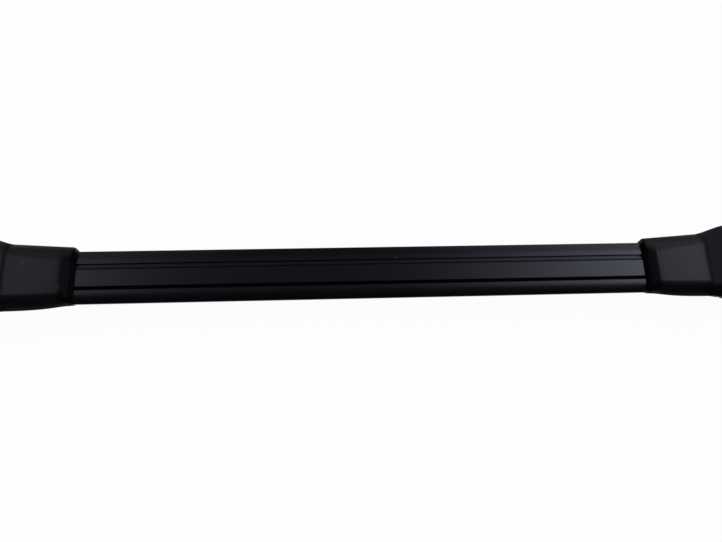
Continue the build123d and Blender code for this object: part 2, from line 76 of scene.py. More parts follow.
# Foot covers: half-widths, heights and the shape of their sections
COVER_END = JAW_HIGH.x + 0.001  # where the cover stops and the flap's gap begins
PANEL_REAR, PANEL_FRONT = (0.0230, 0.0349), (0.0245, 0.0259)  # at the collar and at the rise
PANEL_END, CREST_Z = 0.040, 0.0696  # half-widths and height of the end
LIP_STEP, PANEL_STEP = 0.002, 0.007  # heights of lip and panel over the bar's top
RISE_FIRMNESS = 0.7  # how much of the rise starts at once
REAR_OUT, REAR_DRIFT = (0.0022, 0.0068), 0.0056  # rear flank at lip and corner, and its later gain
FRONT_OUT, FRONT_SWING = 0.0011, 0.0063  # front flank at the lip, and its later gain
FLANK_OUT, FLANK_LIFT = 0.020, 0.020  # both flanks at the end
KEEL_HALF = (0.0225, 0.027, 0.034, 0.052)  # underside at lip, collar, panel and end
KEEL_DROP = (0.002, 0.004, 0.007)  # underside below the bar's at lip, collar and panel
KEEL_END_Z = 0.044  # underside at the end, over the rail
BOWS = (0.2, 0.1)  # bow of the flanks to their chord, at the lip and past the collar
UPPER_PART, LOWER_PART = (0.16, 0.92), (0.08, 0.9)  # what the roundings leave of the flanks
FLANK_STEPS, FLAT_STEPS, CORNER_STEPS, KEEL_STEPS = 28, 9, 9, 7  # points along a section's parts
EDGE_PULL = 0.25  # bulge of the panel's edge, as a share of its softness
FLANK_PULL = 0.0010  # bulge of the flank's edge
LIP_X = np.array([0.0, 0.0004, 0.0010])  # first stations, which round the lip
LIP_DROP = np.array([0.0003, 0.0001, 0.0]) / 0.04  # share by which they draw in
LIP_DEPTH = 0.003  # depth of the lip that hugs the bar
CREASE_DIP = 0.0002  # hollow that softens the crease of collar and panel
RISE_BAND = 0.006  # closer stations on both sides of the rise's start

# Openings of the foot covers
LEG_X, SADDLE_HALF, SADDLE_ROOF = 0.5185, 0.0385, 0.0471  # room for fixed leg and saddle
NOTCH_X, NOTCH_ROOF = 0.529, 0.044  # room for the rail
BAR_SCREW_HEAD, COVER_SCREW_HEAD = 0.0047, 0.0038  # radii
BAR_ACCESS, COVER_ACCESS = (0.0057, 0.020), (0.0041, 0.030)  # radius and top of the screw holes

# End flaps and their hinge
HINGE_X, HINGE_Z = (PIN_LOW.x + PIN_HIGH.x) / 2, (PIN_LOW.z + PIN_HIGH.z) / 2
BARREL, BARREL_HALF, BARREL_SOFT = 0.0032, 0.024, 0.0003  # radius, half-length and rounding
PIN_HOLE, BARREL_SEAT = 0.00155, 0.0029  # radii of the pin's hole and the barrel's seat
LUG_WIDTH, LUG_ROOT, LUG_HEEL, LUG_ROOF = 0.008, 0.0118, 0.008, 0.0683  # the cover's lugs
LUG_NECK = (0.0005, 0.97)  # end of a lug's round tip: back from its middle, share of its radius
LUG_PLAY, LUG_ROOM = 0.0004, 0.0088  # room in the flap round a lug, and along it
SHOULDER_RADII = BARREL * np.array([0.91, 1.0, 1.0, 0.98, 0.90, 0.72, 0.42, 0.10])
SHOULDER_Y = np.array([0.0331, 0.0334, 0.0378, 0.0390, 0.0404, 0.0426, 0.0452, 0.0474])
FLAP_FOOT = 0.045  # half-width of the flap's lower edge
FLAP_MIDDLE = np.array([0.0, 0.036])  # middle of the outer face, y and z
FLAP_FACE = np.array([0.8, 0.55, 0.3, 0.1])  # sizes of the rings that close the outer face
JAW_PLAY = 0.0006  # room beside the jaw in the flap

# Finishes: tints of reflections, and where tones change along, across and up from the middle
BAR_SHEEN = (0.75, 0.785, 1.0, 1.0)
COVER_SHEEN = (0.82, 0.79, 1.0, 1.0)
COVER_GLOSS = {"right": 0.10, "left": 0.165}
FLAP_GLOSS = 0.115
DULLED = 0.25  # share of the gloss on the rear sides and the lips
# Painted shade: the collar's colour is darkened to this share of the cover's colour
COLLAR_PAINTED_SHADE = 0.3
# Painted light on the rise to the crest: a brighter colour stands for a reflection on the right, a
# darker one for shade on the left
RISE_PAINTED_LIGHT = {"right": 4.0, "left": 0.6}
COLLAR_SHADE_FADE, LIP_FADE = (0.436, 0.442), (0.4262, 0.4286)
RISE_FADE, REST_FADE = (0.515, 0.521), (0.545, 0.568)
RISE_FRONT, REAR_SIDE, REAR_TOP = (-0.036, -0.028), (0.036, 0.042), (0.0455, 0.0525)
THREAD_FADE, THREAD_TURNS = (0.5630, 0.5640), 1000.0  # where the thread ends, turns to the metre
PAD_RIBS = 2400.0  # ribs of the pads, in radians to the metre
# Each mark is a middle and half-sizes
BAR_MARKS = [((0.0435, 0.0205, 0.046), (0.0012, 0.0009, 0.003))]
COVER_MARKS = {
    # A pale spot at the right panel's inner rear corner, along the crease
    "right": [((0.4410, 0.0180, 0.0530), (0.0014, 0.0050, 0.006))],
    "left": [
        ((-0.4915, 0.0205, 0.0535), (0.0013, 0.0065, 0.006)),
        ((-0.4385, -0.0150, 0.0530), (0.0013, 0.0050, 0.006)),
    ],
}
MARK_FADE = (0.55, 1.0)  # share of its half-size where a mark fades

# Light: its fades are angles from straight up
WHITE = (1.0, 1.0, 1.0, 1.0)
PAPER = (0.9, 0.9, 0.9, 1.0)
RIGHT_FADE, LEFT_FADE = np.radians((8, 63)), np.radians((20, 38))
FRONT_FADE, REAR_FADE, LOW_FADE = np.radians((5, 8)), np.radians((10, 30)), np.radians((40, 75))
LEAST_HEIGHT = 0.001  # keeps the angles defined at and below the horizon
FLOOR_REACH = 12.0


def number(name, default, description, **kind):
    """A number that a user may change, with its unit, subtype or limits."""
    return FloatProperty(name=name, description=description, default=default, **kind)


def length(name, default, description):
    """A length in metres."""
    return number(name, default, description, unit="LENGTH", precision=5)


def angle(name, degrees, description):
    """An angle, given here in degrees."""
    return number(name, math.radians(degrees), description, subtype="ANGLE")


def share(name, default, description):
    """A part of a whole, from 0 to 1."""
    return number(name, default, description, min=0, max=1, subtype="FACTOR")


def colour(name, default, description):
    """A linear colour."""
    return FloatVectorProperty(
        name=name, description=description, default=default, subtype="COLOR", size=3, min=0, max=1
    )


class BarSizes(bpy.types.PropertyGroup):
    """Section of the bar and of the strips in its channels."""

    flat: length("Flat width", 0.045, "Width of the flat top and underside")
    shoulder: length("Shoulder", 0.005, "Height from the nose line up to the top")
    pitch: length("Channel pitch", 0.032, "Distance between the two channels")
    front_mouth: length("Front mouth", 0.0046, "Width of the front channel's mouth")
    rear_mouth: length("Rear mouth", 0.0076, "Width of the rear channel's mouth")
    front_shift: length("Front shift", 0.0006, "Front mouth's place outside its undercut's middle")
    rear_shift: length("Rear shift", -0.0010, "Rear mouth's place outside its undercut's middle")
    mouth_depth: length("Mouth depth", 0.0024, "Depth of the mouth above the undercut")
    pocket: length("Undercut", 0.010, "Width of the undercut below the mouth")
    pocket_depth: length("Undercut depth", 0.002, "Height of the undercut")
    lip: length("Lip radius", 0.0006, "Rounding of the channels' edges")
    front_rib: length("Front rib", 0.0034, "Width of the front strip's rib in its mouth")
    rear_rib: length("Rear rib", 0.0044, "Width of the rear strip's rib in its mouth")
    rear_lean: length("Rear lean", 0.0022, "Rear rib's place forward of its flange's middle")


class FootSizes(bpy.types.PropertyGroup):
    """Lengths, walls and roundings of the moulded foot cover and end flap."""

    wall: length("Wall", 0.0026, "Wall of the moulded cover")
    fit: length("Fit", 0.0003, "Gap between the collar and the bar")
    collar: length("Collar length", 0.014, "Length of the sloped collar")
    panel: length("Panel length", 0.079, "Length of the flat top panel")
    flare_start: length("Flare start", 0.087, "From the lip to where the flanks flare")
    crest_run: length("Crest run", 0.0360, "Length of the rise from the panel to the crest")
    lead: length("Lip lead", 0.0035, "How far the lip leans out over the bar's top")
    corner: length("Corner run", 0.006, "Length of the collar's rounded rear corner")
    flare: length("Flare run", 0.034, "Length in which the front flank swings out")
    edge: length("Edge softness", 0.0022, "Rounding of the panel's long edges")
    crease: length("Crease softness", 0.0024, "Rounding where the panel meets collar and rise")
    flap_wall: length("Flap wall", 0.0025, "Wall of the end flap")
    flap_edge: length("Flap edge", 0.009, "Rounding of the flap's outer face")


class FinishColours(bpy.types.PropertyGroup):
    """Colours of the crossbar's finishes."""

    bar: colour("Bar", (0.0042, 0.0043, 0.0056), "Black anodised bar")
    cover: colour("Cover", (0.0056, 0.0053, 0.0068), "Black moulded covers and flaps")
    strip: colour("Strip", (0.0042, 0.0042, 0.0050), "Rubber strips")
    casting: colour("Casting", (0.0120, 0.0120, 0.0126), "Coated castings")
    pad: colour("Pad", (0.0085, 0.0085, 0.0088), "Rubber pads")
    zinc: colour("Zinc", (0.52, 0.52, 0.50), "Plated fasteners")
    scuff: colour("Scuff", (0.16, 0.16, 0.165), "Pale rubbed marks")


class StudioSettings(bpy.types.PropertyGroup):
    """Camera and light."""

    lens: number("Lens", 22.595, "Focal length in millimetres", min=1)
    azimuth: angle("Azimuth", -12.776, "Turn of the view")
    elevation: angle("Elevation", 77.088, "Height of the view")
    roll: angle("Roll", 11.399, "Roll of the camera")
    distance: length("Distance", 0.66904, "From the camera to the point it looks at")
    aim: FloatVectorProperty(
        name="Aim",
        description="Point the camera looks at",
        default=(-0.01087, 0.00130, 0.046),
        subtype="XYZ",
    )
    room: number("Room", 0.36, "Radiance of the room overhead", min=0)
    right_light: number("Right light", 10.5, "Radiance of the right wall", min=0)
    left_light: number("Left light", 2.8, "Radiance of the left wall", min=0)
    rear_loss: share("Rear loss", 0.75, "How much dimmer the walls are towards the rear")
    low_loss: share("Low loss", 0.7, "How much dimmer still the rear is near the horizon")
    front_dark: number("Front dark", 0.01, "Radiance of the dark front", min=0)
    floor_white: share("Floor white", 0.97, "How much of the floor is plain white to the camera")


class Wire:
    """A shader socket that Python's operators work on; each one adds a Math node."""

    def __init__(self, shader, socket):
        self.shader = shader
        self.socket = socket

    def maths(self, operation, *others):
        """A Math node by name, with this wire as its first value."""
        return self.shader.add("ShaderNodeMath", {"operation": operation}, self, *others)

    def __add__(self, other):
        return self.maths("ADD", other)

    def __sub__(self, other):
        return self.maths("SUBTRACT", other)

    def __rsub__(self, other):
        return self.shader.add("ShaderNodeMath", {"operation": "SUBTRACT"}, other, self)

    def __mul__(self, other):
        return self.maths("MULTIPLY", other)

    def __abs__(self):
        return self.maths("ABSOLUTE")

    __radd__, __rmul__ = __add__, __mul__


class Shader:
    """The nodes of one material or world."""

    def __init__(self, name, store="materials"):
        self.owner = getattr(bpy.data, store).new(name)
        self.owner.use_nodes = True
        self.tree = self.owner.node_tree
        self.tree.nodes.clear()

    def node(self, kind, settings=None, *values, **named):
        """Adds a node: settings first, then values or links for its sockets, by place or name."""
        node = self.tree.nodes.new(kind)
        for key, value in (settings or {}).items():
            setattr(node, key, value)
        sockets = [s for s in node.inputs if s.enabled]
        by_name = {s.name.replace(" ", "_"): s for s in sockets}
        chosen = sockets[: len(values)] + [by_name[key] for key in named]
        for socket, value in zip(chosen, (*values, *named.values())):
            if isinstance(value, Wire):
                self.tree.links.new(value.socket, socket)
            else:
                socket.default_value = value
        return node

    def add(self, kind, settings=None, *values, output=None, **named):
        """The same, giving one output as a wire."""
        node = self.node(kind, settings, *values, **named)
        live = [s for s in node.outputs if s.enabled]
        chosen = live[0] if output is None else next(s for s in live if s.name == output)
        return Wire(self, chosen)

    def place(self, kind="Object"):
        """The point being shaded."""
        return self.add("ShaderNodeTexCoord", output=kind)

    def stretched(self, scale):
        """Object coordinates, scaled apart along X, Y and Z."""
        return self.add("ShaderNodeMapping", Vector=self.place(), Scale=scale)

    def axes(self, kind="Object"):
        """X, Y and Z of the point, each as a wire."""
        node = self.node("ShaderNodeSeparateXYZ", None, self.place(kind))
        return [Wire(self, s) for s in node.outputs]

    def noise(self, vector, scale=1.0, detail=2.0, roughness=0.5):
        """Cloudy noise from 0 to 1."""
        sockets = {"Vector": vector, "Scale": scale, "Detail": detail, "Roughness": roughness}
        return self.add("ShaderNodeTexNoise", output="Fac", **sockets)

    def step(self, value, low, high):
        """0 below low and 1 above high, with a smooth run between."""
        settings = {"interpolation_type": "SMOOTHSTEP"}
        return self.add("ShaderNodeMapRange", settings, value, low, high, 0.0, 1.0)

    def mix(self, mask, first, second):
        """One colour turning into another by a mask."""
        ends = [c if isinstance(c, Wire) else (*c, 1.0) for c in (first, second)]
        return self.add("ShaderNodeMix", {"data_type": "RGBA"}, mask, *ends)

    def clouded(self, mask, plain, low, high):
        """A colour that runs from a darker to a paler tone of itself by a mask."""
        return self.mix(mask, tone(plain, low), tone(plain, high))

    def bump(self, height, depth, strength):
        """A normal from a height that stands for so many metres."""
        return self.add("ShaderNodeBump", Strength=strength, Distance=depth, Height=height)

    def principled(self, **sockets):
        """A principled surface."""
        return self.add("ShaderNodeBsdfPrincipled", **sockets)

    def finished(self, body):
        """Leads a shader to the output and gives back the material."""
        self.node("ShaderNodeOutputMaterial", None, body)
        return self.owner


def tone(plain, part):
    """A colour made darker or paler."""
    return tuple(part * c for c in plain)


def spots(shader, marks):
    """Mask of soft marks: the largest of them at each point."""
    place = shader.place()
    mask = None
    for middle, half in marks:
        offset = shader.add("ShaderNodeVectorMath", {"operation": "SUBTRACT"}, place, middle)
        scaled = shader.add("ShaderNodeVectorMath", {"operation": "DIVIDE"}, offset, half)
        far = shader.add("ShaderNodeVectorMath", {"operation": "LENGTH"}, scaled, output="Value")
        spot = 1.0 - shader.step(far, *MARK_FADE)
        mask = spot if mask is None else mask.maths("MAXIMUM", spot)
    return mask


def bar_finish(colours):
    """Satin black anodising: fine drawing lines along X, faint cloudiness, dust and a speck."""
    s = Shader("anodised_bar")
    lines = s.noise(s.stretched((1.5, 900.0, 900.0)), detail=3.0, roughness=0.6)
    cloud = s.noise(s.place(), scale=9.0, detail=3.0)
    dust = s.step(s.noise(s.place(), scale=700.0, detail=1.0), 0.72, 0.80)
    tint = s.clouded(cloud, colours.bar, 0.85, 1.2)
    tint = s.mix(dust * 0.05 + spots(s, BAR_MARKS) * 0.5, tint, colours.scuff)
    height = lines * 0.7 + s.noise(s.place(), scale=1500.0, detail=1.0) * 0.3
    body = s.principled(
        Base_Color=tint,
        Roughness=0.21 + lines * 0.05 + cloud * 0.04 + dust * 0.15,
        Specular_IOR_Level=0.247,
        Specular_Tint=BAR_SHEEN,
        Normal=s.bump(height, depth=0.00001, strength=0.4),
    )
    return s.finished(body)


def cover_finish(name, colours, gloss, rise_painted_light=1.0, marks=()):
    """Moulded black plastic: fine cell grain, faint flow cloud, dust, rubbed marks and a pale
    spot.

    The collar is darkened as painted shade, the rise is lightened as a painted reflection on the
    right and darkened as painted shade on the left, and rear side and lip are duller.
    """
    s = Shader(name)
    grain = s.add("ShaderNodeTexVoronoi", output="Distance", Vector=s.place(), Scale=1400.0)
    cloud = s.noise(s.place(), scale=14.0, detail=3.0)
    dust = s.step(s.noise(s.place(), scale=520.0, detail=1.0), 0.70, 0.80)
    x, y, z = s.axes()
    far = abs(x)
    tint = s.clouded(cloud, colours.cover, 0.85, 1.2)
    # Painted shade: the collar, short of the fade's end, takes a darker tone of the cover's colour
    tint = s.mix(s.step(far, *COLLAR_SHADE_FADE), tone(colours.cover, COLLAR_PAINTED_SHADE), tint)
    # Painted light and shade: the rise to the crest, from its front on, gets its own brighter or
    # darker tone of the cover's colour
    rise = (s.step(far, *RISE_FADE) - s.step(far, *REST_FADE)) * s.step(y, *RISE_FRONT)
    tint = s.mix(rise, tint, tone(colours.cover, rise_painted_light))
    # Dust, and the pale marks from the list
    wear = dust * 0.05
    if marks:
        wear = wear + spots(s, marks) * 0.12
    rear_side = s.step(y, *REAR_SIDE) * (1.0 - s.step(z, *REAR_TOP))
    lip = 1.0 - s.step(far, *LIP_FADE)
    sockets = {
        "Base_Color": s.mix(wear, tint, colours.scuff),
        "Roughness": 0.25 + cloud * 0.08 + grain * 0.06,
        "Specular_Tint": COVER_SHEEN,
        "Normal": s.bump(grain, depth=0.00004, strength=0.3),
    }
    shiny = s.principled(Specular_IOR_Level=gloss, **sockets)
    dull = s.principled(Specular_IOR_Level=DULLED * gloss, **sockets)
    mask = lip.maths("MAXIMUM", rear_side)
    return s.finished(s.add("ShaderNodeMixShader", None, mask, shiny, dull))


def strip_finish(colours, name, shade, gloss, rough):
    """Extruded rubber: fine lengthwise lines and a dusty bloom."""
    s = Shader(name)
    lines = s.noise(s.stretched((3.0, 1200.0, 1200.0)))
    bloom = s.noise(s.place(), scale=60.0, detail=4.0)
    body = s.principled(
        # shade below 1 darkens the whole colour as painted shade
        Base_Color=s.clouded(bloom, colours.strip, 0.8 * shade, 1.4 * shade),
        Roughness=rough + lines * 0.1 + bloom * 0.06,
        Specular_IOR_Level=gloss,
        Specular_Tint=BAR_SHEEN,
        Normal=s.bump(lines, depth=0.00003, strength=0.5),
    )
    return s.finished(body)


def casting_finish(colours):
    """Coated die casting: orange-peel skin with paler wear in patches."""
    s = Shader("coated_casting")
    peel = s.noise(s.place(), scale=420.0)
    patch = s.noise(s.place(), scale=30.0, detail=4.0)
    body = s.principled(
        Base_Color=s.clouded(patch, colours.casting, 0.8, 1.3),
        Roughness=0.42 + patch * 0.16,
        Specular_IOR_Level=0.35,
        Normal=s.bump(peel, depth=0.00012, strength=0.6),
    )
    return s.finished(body)


def pad_finish(colours):
    """Moulded rubber pad: fine cross ribs and bloom."""
    s = Shader("rubber_pad")
    y = s.axes()[1]
    ribs = ((y * PAD_RIBS).maths("SINE") + 1.0) * 0.5
    bloom = s.noise(s.place(), scale=80.0, detail=4.0)
    body = s.principled(
        Base_Color=s.clouded(bloom, colours.pad, 0.8, 1.4),
        Roughness=0.7 + bloom * 0.15,
        Specular_IOR_Level=0.3,
        Normal=s.bump(ribs, depth=0.0003, strength=0.7),
    )
    return s.finished(body)


def zinc_finish(name, colours, rough, threaded):
    """Zinc-plated steel, faintly stained: turning marks, or a thread as ridges along X."""
    s = Shader(name)
    stain = s.noise(s.place(), scale=160.0, detail=4.0)
    if threaded:
        x = s.axes()[0]
        ridge = (x * THREAD_TURNS).maths("PINGPONG", 0.5) * (1.0 - s.step(abs(x), *THREAD_FADE))
        normal = s.bump(ridge, depth=0.0006, strength=1.0)
    else:
        marks = s.noise(s.stretched((4000.0, 300.0, 300.0)), detail=1.0)
        normal = s.bump(marks, depth=0.00002, strength=0.5)
    body = s.principled(
        Base_Color=s.clouded(stain, colours.zinc, 0.8, 1.0),
        Metallic=1.0,
        Roughness=rough + stain * 0.18,
        Normal=normal,
    )
    return s.finished(body)


def blend(first, last, part):
    """From the first value to the last by a share."""
    return first + (last - first) * part


def smooth(part):
    """The smooth step 3t^2 - 2t^3 of a share t."""
    return part * part * (3 - 2 * part)


def parabola(start, corner, end, t):
    """Curve from start to end that leans to a corner: (1-t)^2 start + 2t(1-t) corner + t^2 end."""
    return (1 - t) ** 2 * start + 2 * t * (1 - t) * corner + t**2 * end


def rounded(corners, cuts, steps=6):
    """An outline whose corners are parabolas between the points one cut away on their sides."""
    corners = np.asarray(corners, float)
    cut = np.asarray(cuts, float)[:, None]

    def towards(neighbours):
        way = neighbours - corners
        size = np.maximum(np.linalg.norm(way, axis=1, keepdims=True), TINY**2)
        return (corners + way / size * cut)[:, None, :]

    start, end = towards(np.roll(corners, 1, 0)), towards(np.roll(corners, -1, 0))
    t = np.linspace(0.0, 1.0, steps)[None, :, None]
    return parabola(start, corners[:, None, :], end, t).reshape(-1, 2)


def drop_doubles(outline):
    """The outline without points that repeat the one before, last to first included."""
    gap = np.linalg.norm(outline - np.roll(outline, 1, 0), axis=1)
    return outline[gap > TINY]


def grid_faces(rows, columns, wrap_rows, wrap_columns):
    """Quads of a rows by columns grid, joined round where it wraps."""
    i = np.arange(rows if wrap_rows else rows - 1)[:, None]
    j = np.arange(columns if wrap_columns else columns - 1)[None, :]
    i2, j2 = (i + 1) % rows, (j + 1) % columns
    corners = (i * columns + j, i * columns + j2, i2 * columns + j2, i2 * columns + j)
    return np.stack(np.broadcast_arrays(*corners), -1).reshape(-1, 4)


def end_faces(total, count):
    """Flat faces over the first and the last ring of points."""
    return [list(range(count))[::-1], list(range(total - count, total))]


def soften(mesh):
    """Smooth shading, except at sharp edges."""
    mesh.shade_smooth()
    mesh.set_sharp_from_angle(angle=SHARP_ANGLE)


def new_piece(name, points, faces):
    """Object at the origin from an array of points and a list of faces."""
    mesh = bpy.data.meshes.new(name)
    mesh.from_pydata(np.asarray(points).tolist(), [], [list(f) for f in faces])
    mesh.validate()
    mesh.update()
    soften(mesh)
    piece = bpy.data.objects.new(name, mesh)
    bpy.context.scene.collection.objects.link(piece)
    return piece


def outward(piece):
    """Turns every face of a closed piece to point out of it."""
    bm = bmesh.new()
    bm.from_mesh(piece.data)
    bmesh.ops.recalc_face_normals(bm, faces=bm.faces)
    bm.to_mesh(piece.data)
    bm.free()


def swept(outline, stations, axis):
    """A closed outline carried straight along X or Y, with flat ends: points and faces."""
    outline = np.asarray(outline)
    count = len(outline)
    along = np.repeat(np.asarray(stations)[:, None], count, 1)
    first = np.broadcast_to(outline[:, 0], along.shape)
    second = np.broadcast_to(outline[:, 1], along.shape)
    order = (along, first, second) if axis == "X" else (first, along, second)
    points = np.stack(order, -1).reshape(-1, 3)
    faces = grid_faces(len(stations), count, False, True).tolist()
    return points, faces + end_faces(len(points), count)


def circle():
    """Cosines and sines round a circle."""
    t = np.linspace(0, 2 * math.pi, SEGMENTS, endpoint=False)
    return np.cos(t), np.sin(t)


def block(x0, x1, half, z0, z1):
    """A box, as a four-cornered outline carried along X."""
    return swept([(-half, z0), (half, z0), (half, z1), (-half, z1)], [x0, x1], "X")


def rod(radius, low, high, first, second, axis):
    """A round bar: along Y at x and z, or along Z at x and y."""
    cos, sin = circle()
    ring = np.stack([first + radius * cos, second + radius * sin], 1)
    points, faces = swept(ring, [low, high], "Y")
    return (points if axis == "Y" else points[:, [0, 2, 1]]), faces


def turned(radii, along, hollow):
    """Radii turned about the hinge's line: a ring when hollow, else a solid with flat ends."""
    cos, sin = circle()
    level = np.broadcast_to(along[:, None], (len(along), SEGMENTS))
    rings = [HINGE_X + radii[:, None] * cos, level, HINGE_Z + radii[:, None] * sin]
    points = np.stack(rings, -1).reshape(-1, 3)
    faces = grid_faces(len(along), SEGMENTS, hollow, True).tolist()
    return points, faces if hollow else faces + end_faces(len(points), SEGMENTS)


def joined(parts):
    """Several point and face lists as one."""
    points, faces, start = [], [], 0
    for p, f in parts:
        points.append(np.asarray(p))
        faces += [[k + start for k in face] for face in f]
        start += len(p)
    return np.concatenate(points), faces


def mirrored(points, faces):
    """The same surface on the left, with its faces turned to stay outward."""
    return np.asarray(points) * (-1, 1, 1), [f[::-1] for f in faces]


def cut_out(piece, parts):
    """Cuts solids out of a closed piece, removes it and gives back the points and faces left."""
    for k, part in enumerate(parts):
        cutter = new_piece(f"{piece.name}_cut_{k}", *part)
        outward(cutter)
        tool = piece.modifiers.new(f"cut_{k}", "BOOLEAN")
        tool.operation = "DIFFERENCE"
        tool.solver = "EXACT"
        tool.object = cutter
        bpy.context.view_layer.update()
        shown = piece.evaluated_get(bpy.context.evaluated_depsgraph_get())
        result = bpy.data.meshes.new_from_object(shown)
        piece.modifiers.clear()
        piece.data = result
        bpy.data.objects.remove(cutter)
    mesh = piece.data
    points = np.zeros(len(mesh.vertices) * 3)
    mesh.vertices.foreach_get("co", points)
    faces = [list(p.vertices) for p in mesh.polygons]
    bpy.data.objects.remove(piece)
    return points.reshape(-1, 3), faces


def bar_outline(sizes, grow=0.0, steps=28):
    """Half outline of the bar's skin without channels, top middle to bottom middle.

    A flat, a quarter ellipse to the nose, a quarter ellipse under it and a flat; y against z.
    """
    flat = sizes.flat / 2
    reach = BAR_HIGH.y - flat + grow
    nose = BAR_HIGH.z - sizes.shoulder
    up, down = sizes.shoulder + grow, nose - BAR_LOW.z + grow
    t = np.linspace(0, math.pi / 2, steps)
    upper = np.stack([flat + reach * np.sin(t), nose + up * np.cos(t)], 1)
    lower = np.stack([flat + reach * np.cos(t[1:]), nose - down * np.sin(t[1:])], 1)
    return np.concatenate([[[0.0, nose + up]], upper, lower, [[0.0, nose - down]]])


def channel_outline(sizes, mouth, shift):
    """One channel from its inner lip to its outer lip, y against z, edges rounded."""
    top = BAR_HIGH.z
    middle = sizes.pitch / 2
    inner, outer = middle + shift - mouth / 2, middle + shift + mouth / 2
    pocket = sizes.pocket / 2
    ledge = top - sizes.mouth_depth
    floor = ledge - sizes.pocket_depth
    corners = [
        (inner - MOUTH_FLATS[0], top),
        (inner, top),
        (inner, ledge),
        (middle - pocket, ledge),
        (middle - pocket, floor),
        (middle + pocket, floor),
        (middle + pocket, ledge),
        (outer, ledge),
        (outer, top),
        (outer + MOUTH_FLATS[1], top),
    ]
    inside = [sizes.lip / 3] * 6
    return rounded(corners, [0, sizes.lip, *inside, sizes.lip, 0])


class CROSSBAR_OT_bar(bpy.types.Operator):
    """Makes the bar's skin: the wing outline with its two undercut channels, carried along X"""

    bl_idname = "crossbar.bar"
    bl_label = "Bar"

    def execute(self, context):
        sizes = context.scene.crossbar_bar
        plain = bar_outline(sizes)
        rear = channel_outline(sizes, sizes.rear_mouth, sizes.rear_shift)
        front = channel_outline(sizes, sizes.front_mouth, sizes.front_shift)
        rear_half = np.concatenate([plain[:1], rear, plain[1:]])
        front_half = np.concatenate([front, plain[1:-1]])[::-1] * (-1, 1)
        outline = drop_doubles(np.concatenate([rear_half, front_half]))
        stations = np.linspace(BAR_LOW.x, BAR_HIGH.x, STATIONS)
        piece = new_piece("bar_skin", *swept(outline, stations, "X"))
        outward(piece)
        piece.data.materials.append(bar_finish(context.scene.crossbar_finish))
        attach(piece, "frame")
        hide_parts("bar_extrusion")
        return {"FINISHED"}


def strip_outline(sizes, low, high, width, lean):
    """A flange as wide as the CAD's strip with a crowned rib of a given width, y against z."""
    middle = (low.y + high.y) / 2 + lean
    ledge = low.z + sizes.pocket_depth - FLANGE_PLAY
    rib = width / 2
    corners = [
        (low.y, low.z),
        (high.y, low.z),
        (high.y, ledge),
        (middle + rib, ledge),
        (middle + rib, high.z - RIB_SHOULDER),
        (middle, high.z + RIB_CROWN),
        (middle - rib, high.z - RIB_SHOULDER),
        (middle - rib, ledge),
        (low.y, ledge),
    ]
    half = [BRIM_CUT, FOOT_CUT, SHOULDER_CUT]
    cuts = [FOOT_CUT, FOOT_CUT, *half, CROWN_CUT, *half[::-1]]
    return drop_doubles(rounded(corners, cuts))


class CROSSBAR_OT_strips(bpy.types.Operator):
    """Makes the rubber strips: a flange in the undercut and a crowned rib up the mouth"""

    bl_idname = "crossbar.strips"
    bl_label = "Strips"

    def execute(self, context):
        sizes = context.scene.crossbar_bar
        colours = context.scene.crossbar_finish
        # Painted shade: the front strip's colour is darkened to about a third; the rear strip
        # keeps its own colour
        dark = strip_finish(colours, "strip_dark", shade=0.35, gloss=0.01, rough=0.8)
        pale = strip_finish(colours, "strip_pale", shade=1.0, gloss=0.28, rough=0.26)
        for name, width, lean, finish in (
            ("front", sizes.front_rib, -sizes.front_shift, dark),
            ("rear", sizes.rear_rib, -sizes.rear_lean, pale),
        ):
            node = f"slot_strip_{name}"
            low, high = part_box(node)
            outline = strip_outline(sizes, low, high, width, lean)
            stations = np.linspace(low.x, high.x, STATIONS)
            piece = new_piece(f"strip_{name}", *swept(outline, stations, "X"))
            outward(piece)
            piece.data.materials.append(finish)
            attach(piece, "frame")
            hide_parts(node)
        return {"FINISHED"}


def cover_outline(x, feet, nose):
    """Corners of the foot cover's sections at stations x: half-widths and heights, and the bow.

    The rear flank turns out round a quarter ellipse at the lip and then runs straight. The front
    one swings out as 1 - exp(-r^1.5). The underside swells as 1 - (1 - s)^2. At the end the flanks
    flare by a smooth step, and the panel rises by a mix of t (2 - t) and a smooth step.
    """
    top, ground, half = BAR_HIGH.z, BAR_LOW.z, BAR_HIGH.y
    run = np.maximum(x - COVER_LOW.x, 0)
    collar = np.clip(run / feet.collar, 0, 1)
    swell = 1 - (1 - collar) ** 2
    panel = np.clip((run - feet.collar) / feet.panel, 0, 1)
    flare = smooth(np.clip((run - feet.flare_start) / feet.crest_run, 0, 1))
    past = run - feet.collar - feet.panel
    t = np.clip((past + np.sqrt(past**2 + feet.crease**2)) / 2 / feet.crest_run, 0, 1)
    rise = blend(smooth(t), t * (2 - t), RISE_FIRMNESS)
    turn = np.sqrt(1 - (1 - np.clip(run / feet.corner, 0, 1)) ** 2)
    drift = REAR_DRIFT * np.clip(run / feet.flare_start, 0, 1)
    swing = FRONT_SWING * (1 - np.exp(-((run / feet.flare) ** 1.5)))
    keel = blend(blend(*KEEL_HALF[:2], swell), KEEL_HALF[2], panel)
    keel_z = blend(ground - KEEL_DROP[0], ground - KEEL_DROP[1], collar)
    keel_z = blend(keel_z, ground - KEEL_DROP[2], panel)
    return {
        "rear_panel": blend(blend(*PANEL_REAR, panel), PANEL_END, rise),
        "front_panel": blend(blend(*PANEL_FRONT, panel), PANEL_END, rise),
        "panel_z": blend(blend(top + LIP_STEP, top + PANEL_STEP, collar), CREST_Z, rise),
        "rear_flank": half + blend(blend(*REAR_OUT, turn) + drift, FLANK_OUT, flare),
        "front_flank": half + blend(FRONT_OUT + swing, FLANK_OUT, flare**2),
        "flank_z": nose + FLANK_LIFT * flare,
        "keel": blend(keel, KEEL_HALF[3], flare),
        "keel_z": blend(keel_z, KEEL_END_Z, flare),
        "bow": blend(*BOWS, collar),
    }


